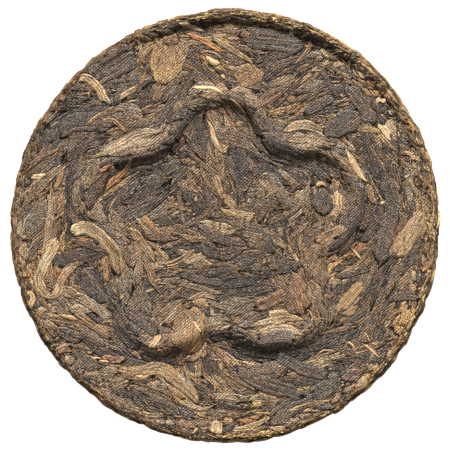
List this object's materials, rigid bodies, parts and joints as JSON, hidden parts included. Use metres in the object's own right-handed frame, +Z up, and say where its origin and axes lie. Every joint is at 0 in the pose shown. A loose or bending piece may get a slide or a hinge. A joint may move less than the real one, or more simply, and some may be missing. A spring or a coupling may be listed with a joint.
{
  "type": "pu erh tea cake",
  "caption": "Round flat cake of compressed dark tea leaves, with a raised rim and a raised blossom outline pressed into its face; pieces are broken off it for steeping.",
  "frame": {"origin": "middle of the underside, on the plane that the cake rests on", "axes": "+Z up out of the stamped face, +Y from the middle of the face to the upright petal of its blossom outline, +X to the right of that petal seen from above"},
  "size_m": [0.1996, 0.2015, 0.0236],
  "materials": {
    "pressed_leaf": "matt, dry rolled tea leaf pressed under cloth"
  },
  "bodies": {
    "root": {"tea_cake": "pressed_leaf"}
  },
  "joints": []
}
